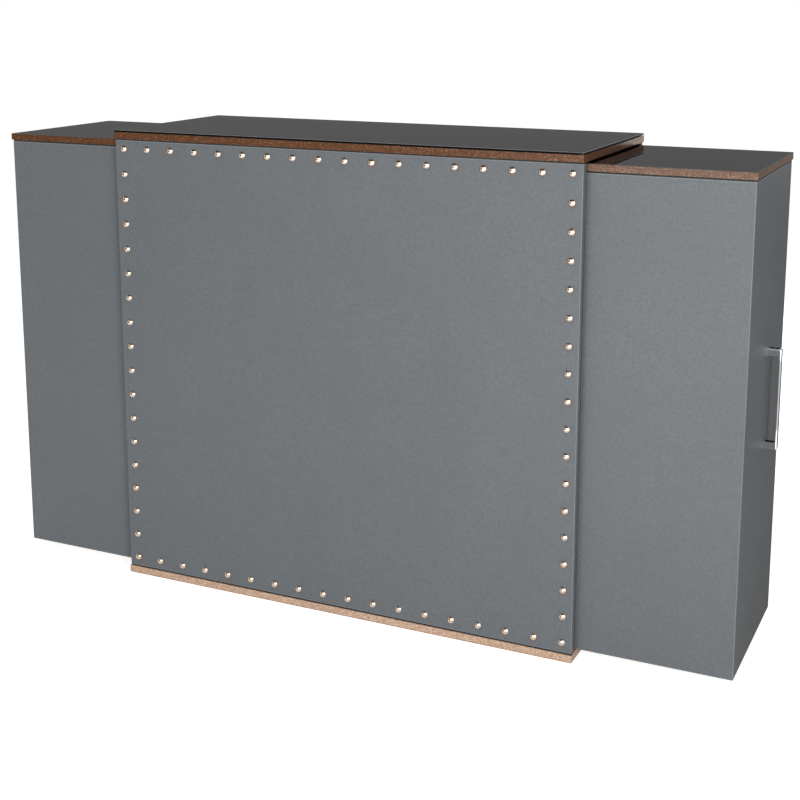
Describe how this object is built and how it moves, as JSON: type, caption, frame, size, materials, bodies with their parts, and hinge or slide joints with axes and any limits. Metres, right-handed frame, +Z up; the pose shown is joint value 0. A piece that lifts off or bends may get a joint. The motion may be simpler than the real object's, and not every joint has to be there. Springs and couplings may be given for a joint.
{
  "type": "bar cabinet",
  "caption": "Extending bar counter: a leather-cloth front panel with nail-head edging under a glass top, and wings with shelves that slide out sideways from behind it.",
  "frame": {"origin": "middle of the base board's underside, on the floor", "axes": "+X to the right as seen from the front, along the way the wings slide; +Y to the back; +Z up"},
  "size_m": [1.8105, 0.4405, 1.067],
  "materials": {
    "grey_cover": "grey leather-cloth with a fine grain, satin",
    "brown_board": "stained, speckled board edge",
    "base_board": "pale, speckled board edge",
    "raw_board": "plain board, lightly sealed",
    "black_board": "painted matt black",
    "black_glass": "black, polished",
    "black_laminate": "black, glossy",
    "copper": "polished copper colour",
    "chrome": "polished",
    "steel": "zinc plated",
    "nylon": "plain white",
    "rubber": "matt",
    "beech": "plain"
  },
  "bodies": {
    "centre": {"base_board": "base_board", "front_panel_core": "raw_board", "front_panel_cover": "grey_cover", "nail_heads": "copper", "centre_partition": "raw_board", "lower_rear_rail": "black_board", "upper_rear_rail": "black_board", "top_board": "brown_board", "top_glass": "black_glass", "base_runners": "nylon", "outer_stops": "nylon", "partition_bumpers": "rubber", "top_screws": "steel", "base_screws": "steel", "partition_screws": "steel"},
    "right_wing": {"right_wing_top": "brown_board", "right_wing_laminate": "black_laminate", "right_wing_front": "raw_board", "right_wing_end": "raw_board", "right_wing_cover": "grey_cover", "right_wing_inner_panel": "raw_board", "right_wing_bottom": "raw_board", "right_wing_lower_shelf": "raw_board", "right_wing_upper_shelf": "raw_board", "right_wing_shelf_pins": "steel", "right_wing_dowels": "beech", "right_wing_screws": "steel", "right_wing_glides": "nylon", "right_wing_stop": "nylon", "right_wing_handle": "chrome", "right_wing_handle_screws": "steel"},
    "left_wing": {"left_wing_top": "brown_board", "left_wing_laminate": "black_laminate", "left_wing_front": "raw_board", "left_wing_end": "raw_board", "left_wing_cover": "grey_cover", "left_wing_inner_panel": "raw_board", "left_wing_bottom": "raw_board", "left_wing_lower_shelf": "raw_board", "left_wing_upper_shelf": "raw_board", "left_wing_shelf_pins": "steel", "left_wing_dowels": "beech", "left_wing_screws": "steel", "left_wing_glides": "nylon", "left_wing_stop": "nylon", "left_wing_handle": "chrome", "left_wing_handle_screws": "steel"}
  },
  "joints": [
    {"name": "right_wing_slide", "type": "slide", "parent": "centre", "child": "right_wing", "axis": [1, 0, 0], "range_m": [-0.33, 0]},
    {"name": "left_wing_slide", "type": "slide", "parent": "centre", "child": "left_wing", "axis": [-1, 0, 0], "range_m": [-0.3175, 0.0125]}
  ]
}
